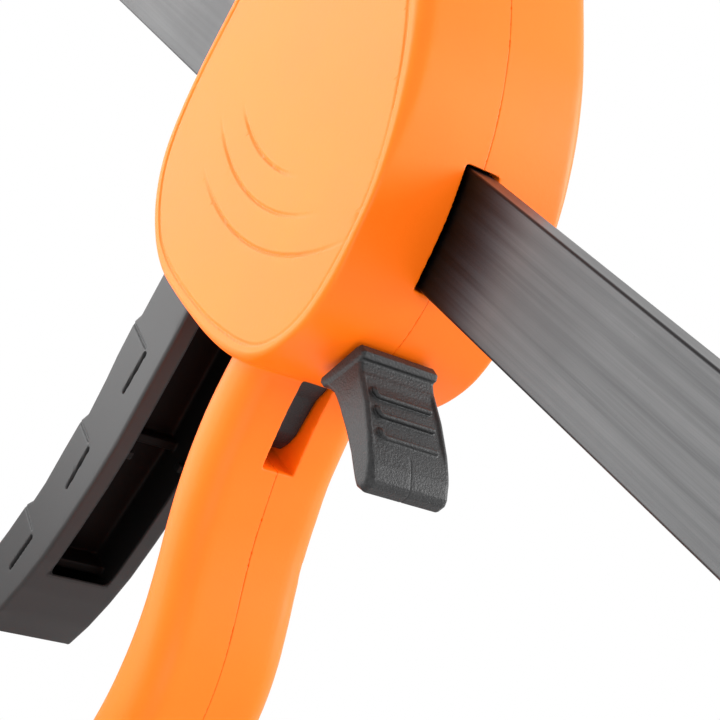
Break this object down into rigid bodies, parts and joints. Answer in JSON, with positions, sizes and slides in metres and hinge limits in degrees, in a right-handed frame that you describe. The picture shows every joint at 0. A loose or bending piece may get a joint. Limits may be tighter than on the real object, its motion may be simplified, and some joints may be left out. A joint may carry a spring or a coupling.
{
  "type": "quick release bar clamp",
  "caption": "One-handed bar clamp with a sliding pistol-grip housing, squeeze trigger, thumb release tab, padded jaws and a flat steel bar.",
  "frame": {"origin": "centre of the fixed jaw's clamping face", "axes": "+X along the bar, from the fixed jaw's clamping face towards the moving jaw and the bar's free end; +Y across the clamp; +Z towards the jaw tips"},
  "size_m": [0.4368, 0.036, 0.205],
  "materials": {
    "orange_shell": "satin moulded nylon, fine spark texture",
    "black_plastic": "fine leather-like moulded grain",
    "pad_rubber": "matt soft rubber",
    "bar_steel": "drawn, brushed lengthwise",
    "plate_steel": "hardened and tumbled",
    "spring_steel": "oiled spring wire",
    "zinc_steel": "bright zinc plate"
  },
  "bodies": {
    "bar": {"bar": "bar_steel", "bar_stop_pin": "zinc_steel", "fixed_jaw": "orange_shell", "fixed_jaw_pins": "zinc_steel", "fixed_jaw_pad": "pad_rubber"},
    "housing": {"housing_left": "orange_shell", "housing_right": "orange_shell", "housing_screws": "zinc_steel", "moving_jaw_pad": "pad_rubber", "trigger_pivot_pin": "plate_steel", "release_pivot_pin": "plate_steel", "drive_spring": "spring_steel", "brake_spring": "spring_steel"},
    "trigger": {"trigger": "black_plastic", "trigger_push_pin": "plate_steel"},
    "drive_plates": {"drive_plate_front": "plate_steel", "drive_plate_rear": "plate_steel"},
    "release_lever": {"release_lever": "black_plastic"},
    "brake_plates": {"brake_plate_front": "plate_steel", "brake_plate_rear": "plate_steel"}
  },
  "joints": [
    {"name": "housing_slide", "type": "slide", "parent": "bar", "child": "housing", "axis": [1, 0, 0], "range_m": [-0.1195, 0.18]},
    {"name": "trigger_pull", "type": "hinge", "parent": "housing", "child": "trigger", "pos_m": [0.1415, 0, -0.0375], "axis": [0, -1, 0], "range_deg": [0, 16], "stiffness_Nm_per_rad": 1, "springref_deg": -20.05},
    {"name": "drive_stroke", "type": "slide", "parent": "housing", "child": "drive_plates", "axis": [1, 0, 0], "range_m": [0, 0.0095], "deforming": ["drive_spring"]},
    {"name": "release_press", "type": "hinge", "parent": "housing", "child": "release_lever", "pos_m": [0.1885, 0, -0.0715], "axis": [0, 1, 0], "range_deg": [0, 10], "stiffness_Nm_per_rad": 0.6, "springref_deg": -17.19},
    {"name": "brake_tilt", "type": "hinge", "parent": "housing", "child": "brake_plates", "pos_m": [0.1795, 0, -0.0365], "axis": [0, 1, 0], "range_deg": [0, 3], "deforming": ["brake_spring"]}
  ],
  "couplings": [
    {"joint": "drive_stroke", "follows": "trigger_pull", "m_per_rad": 0.0333},
    {"joint": "brake_tilt", "follows": "release_press", "ratio": 0.28}
  ]
}
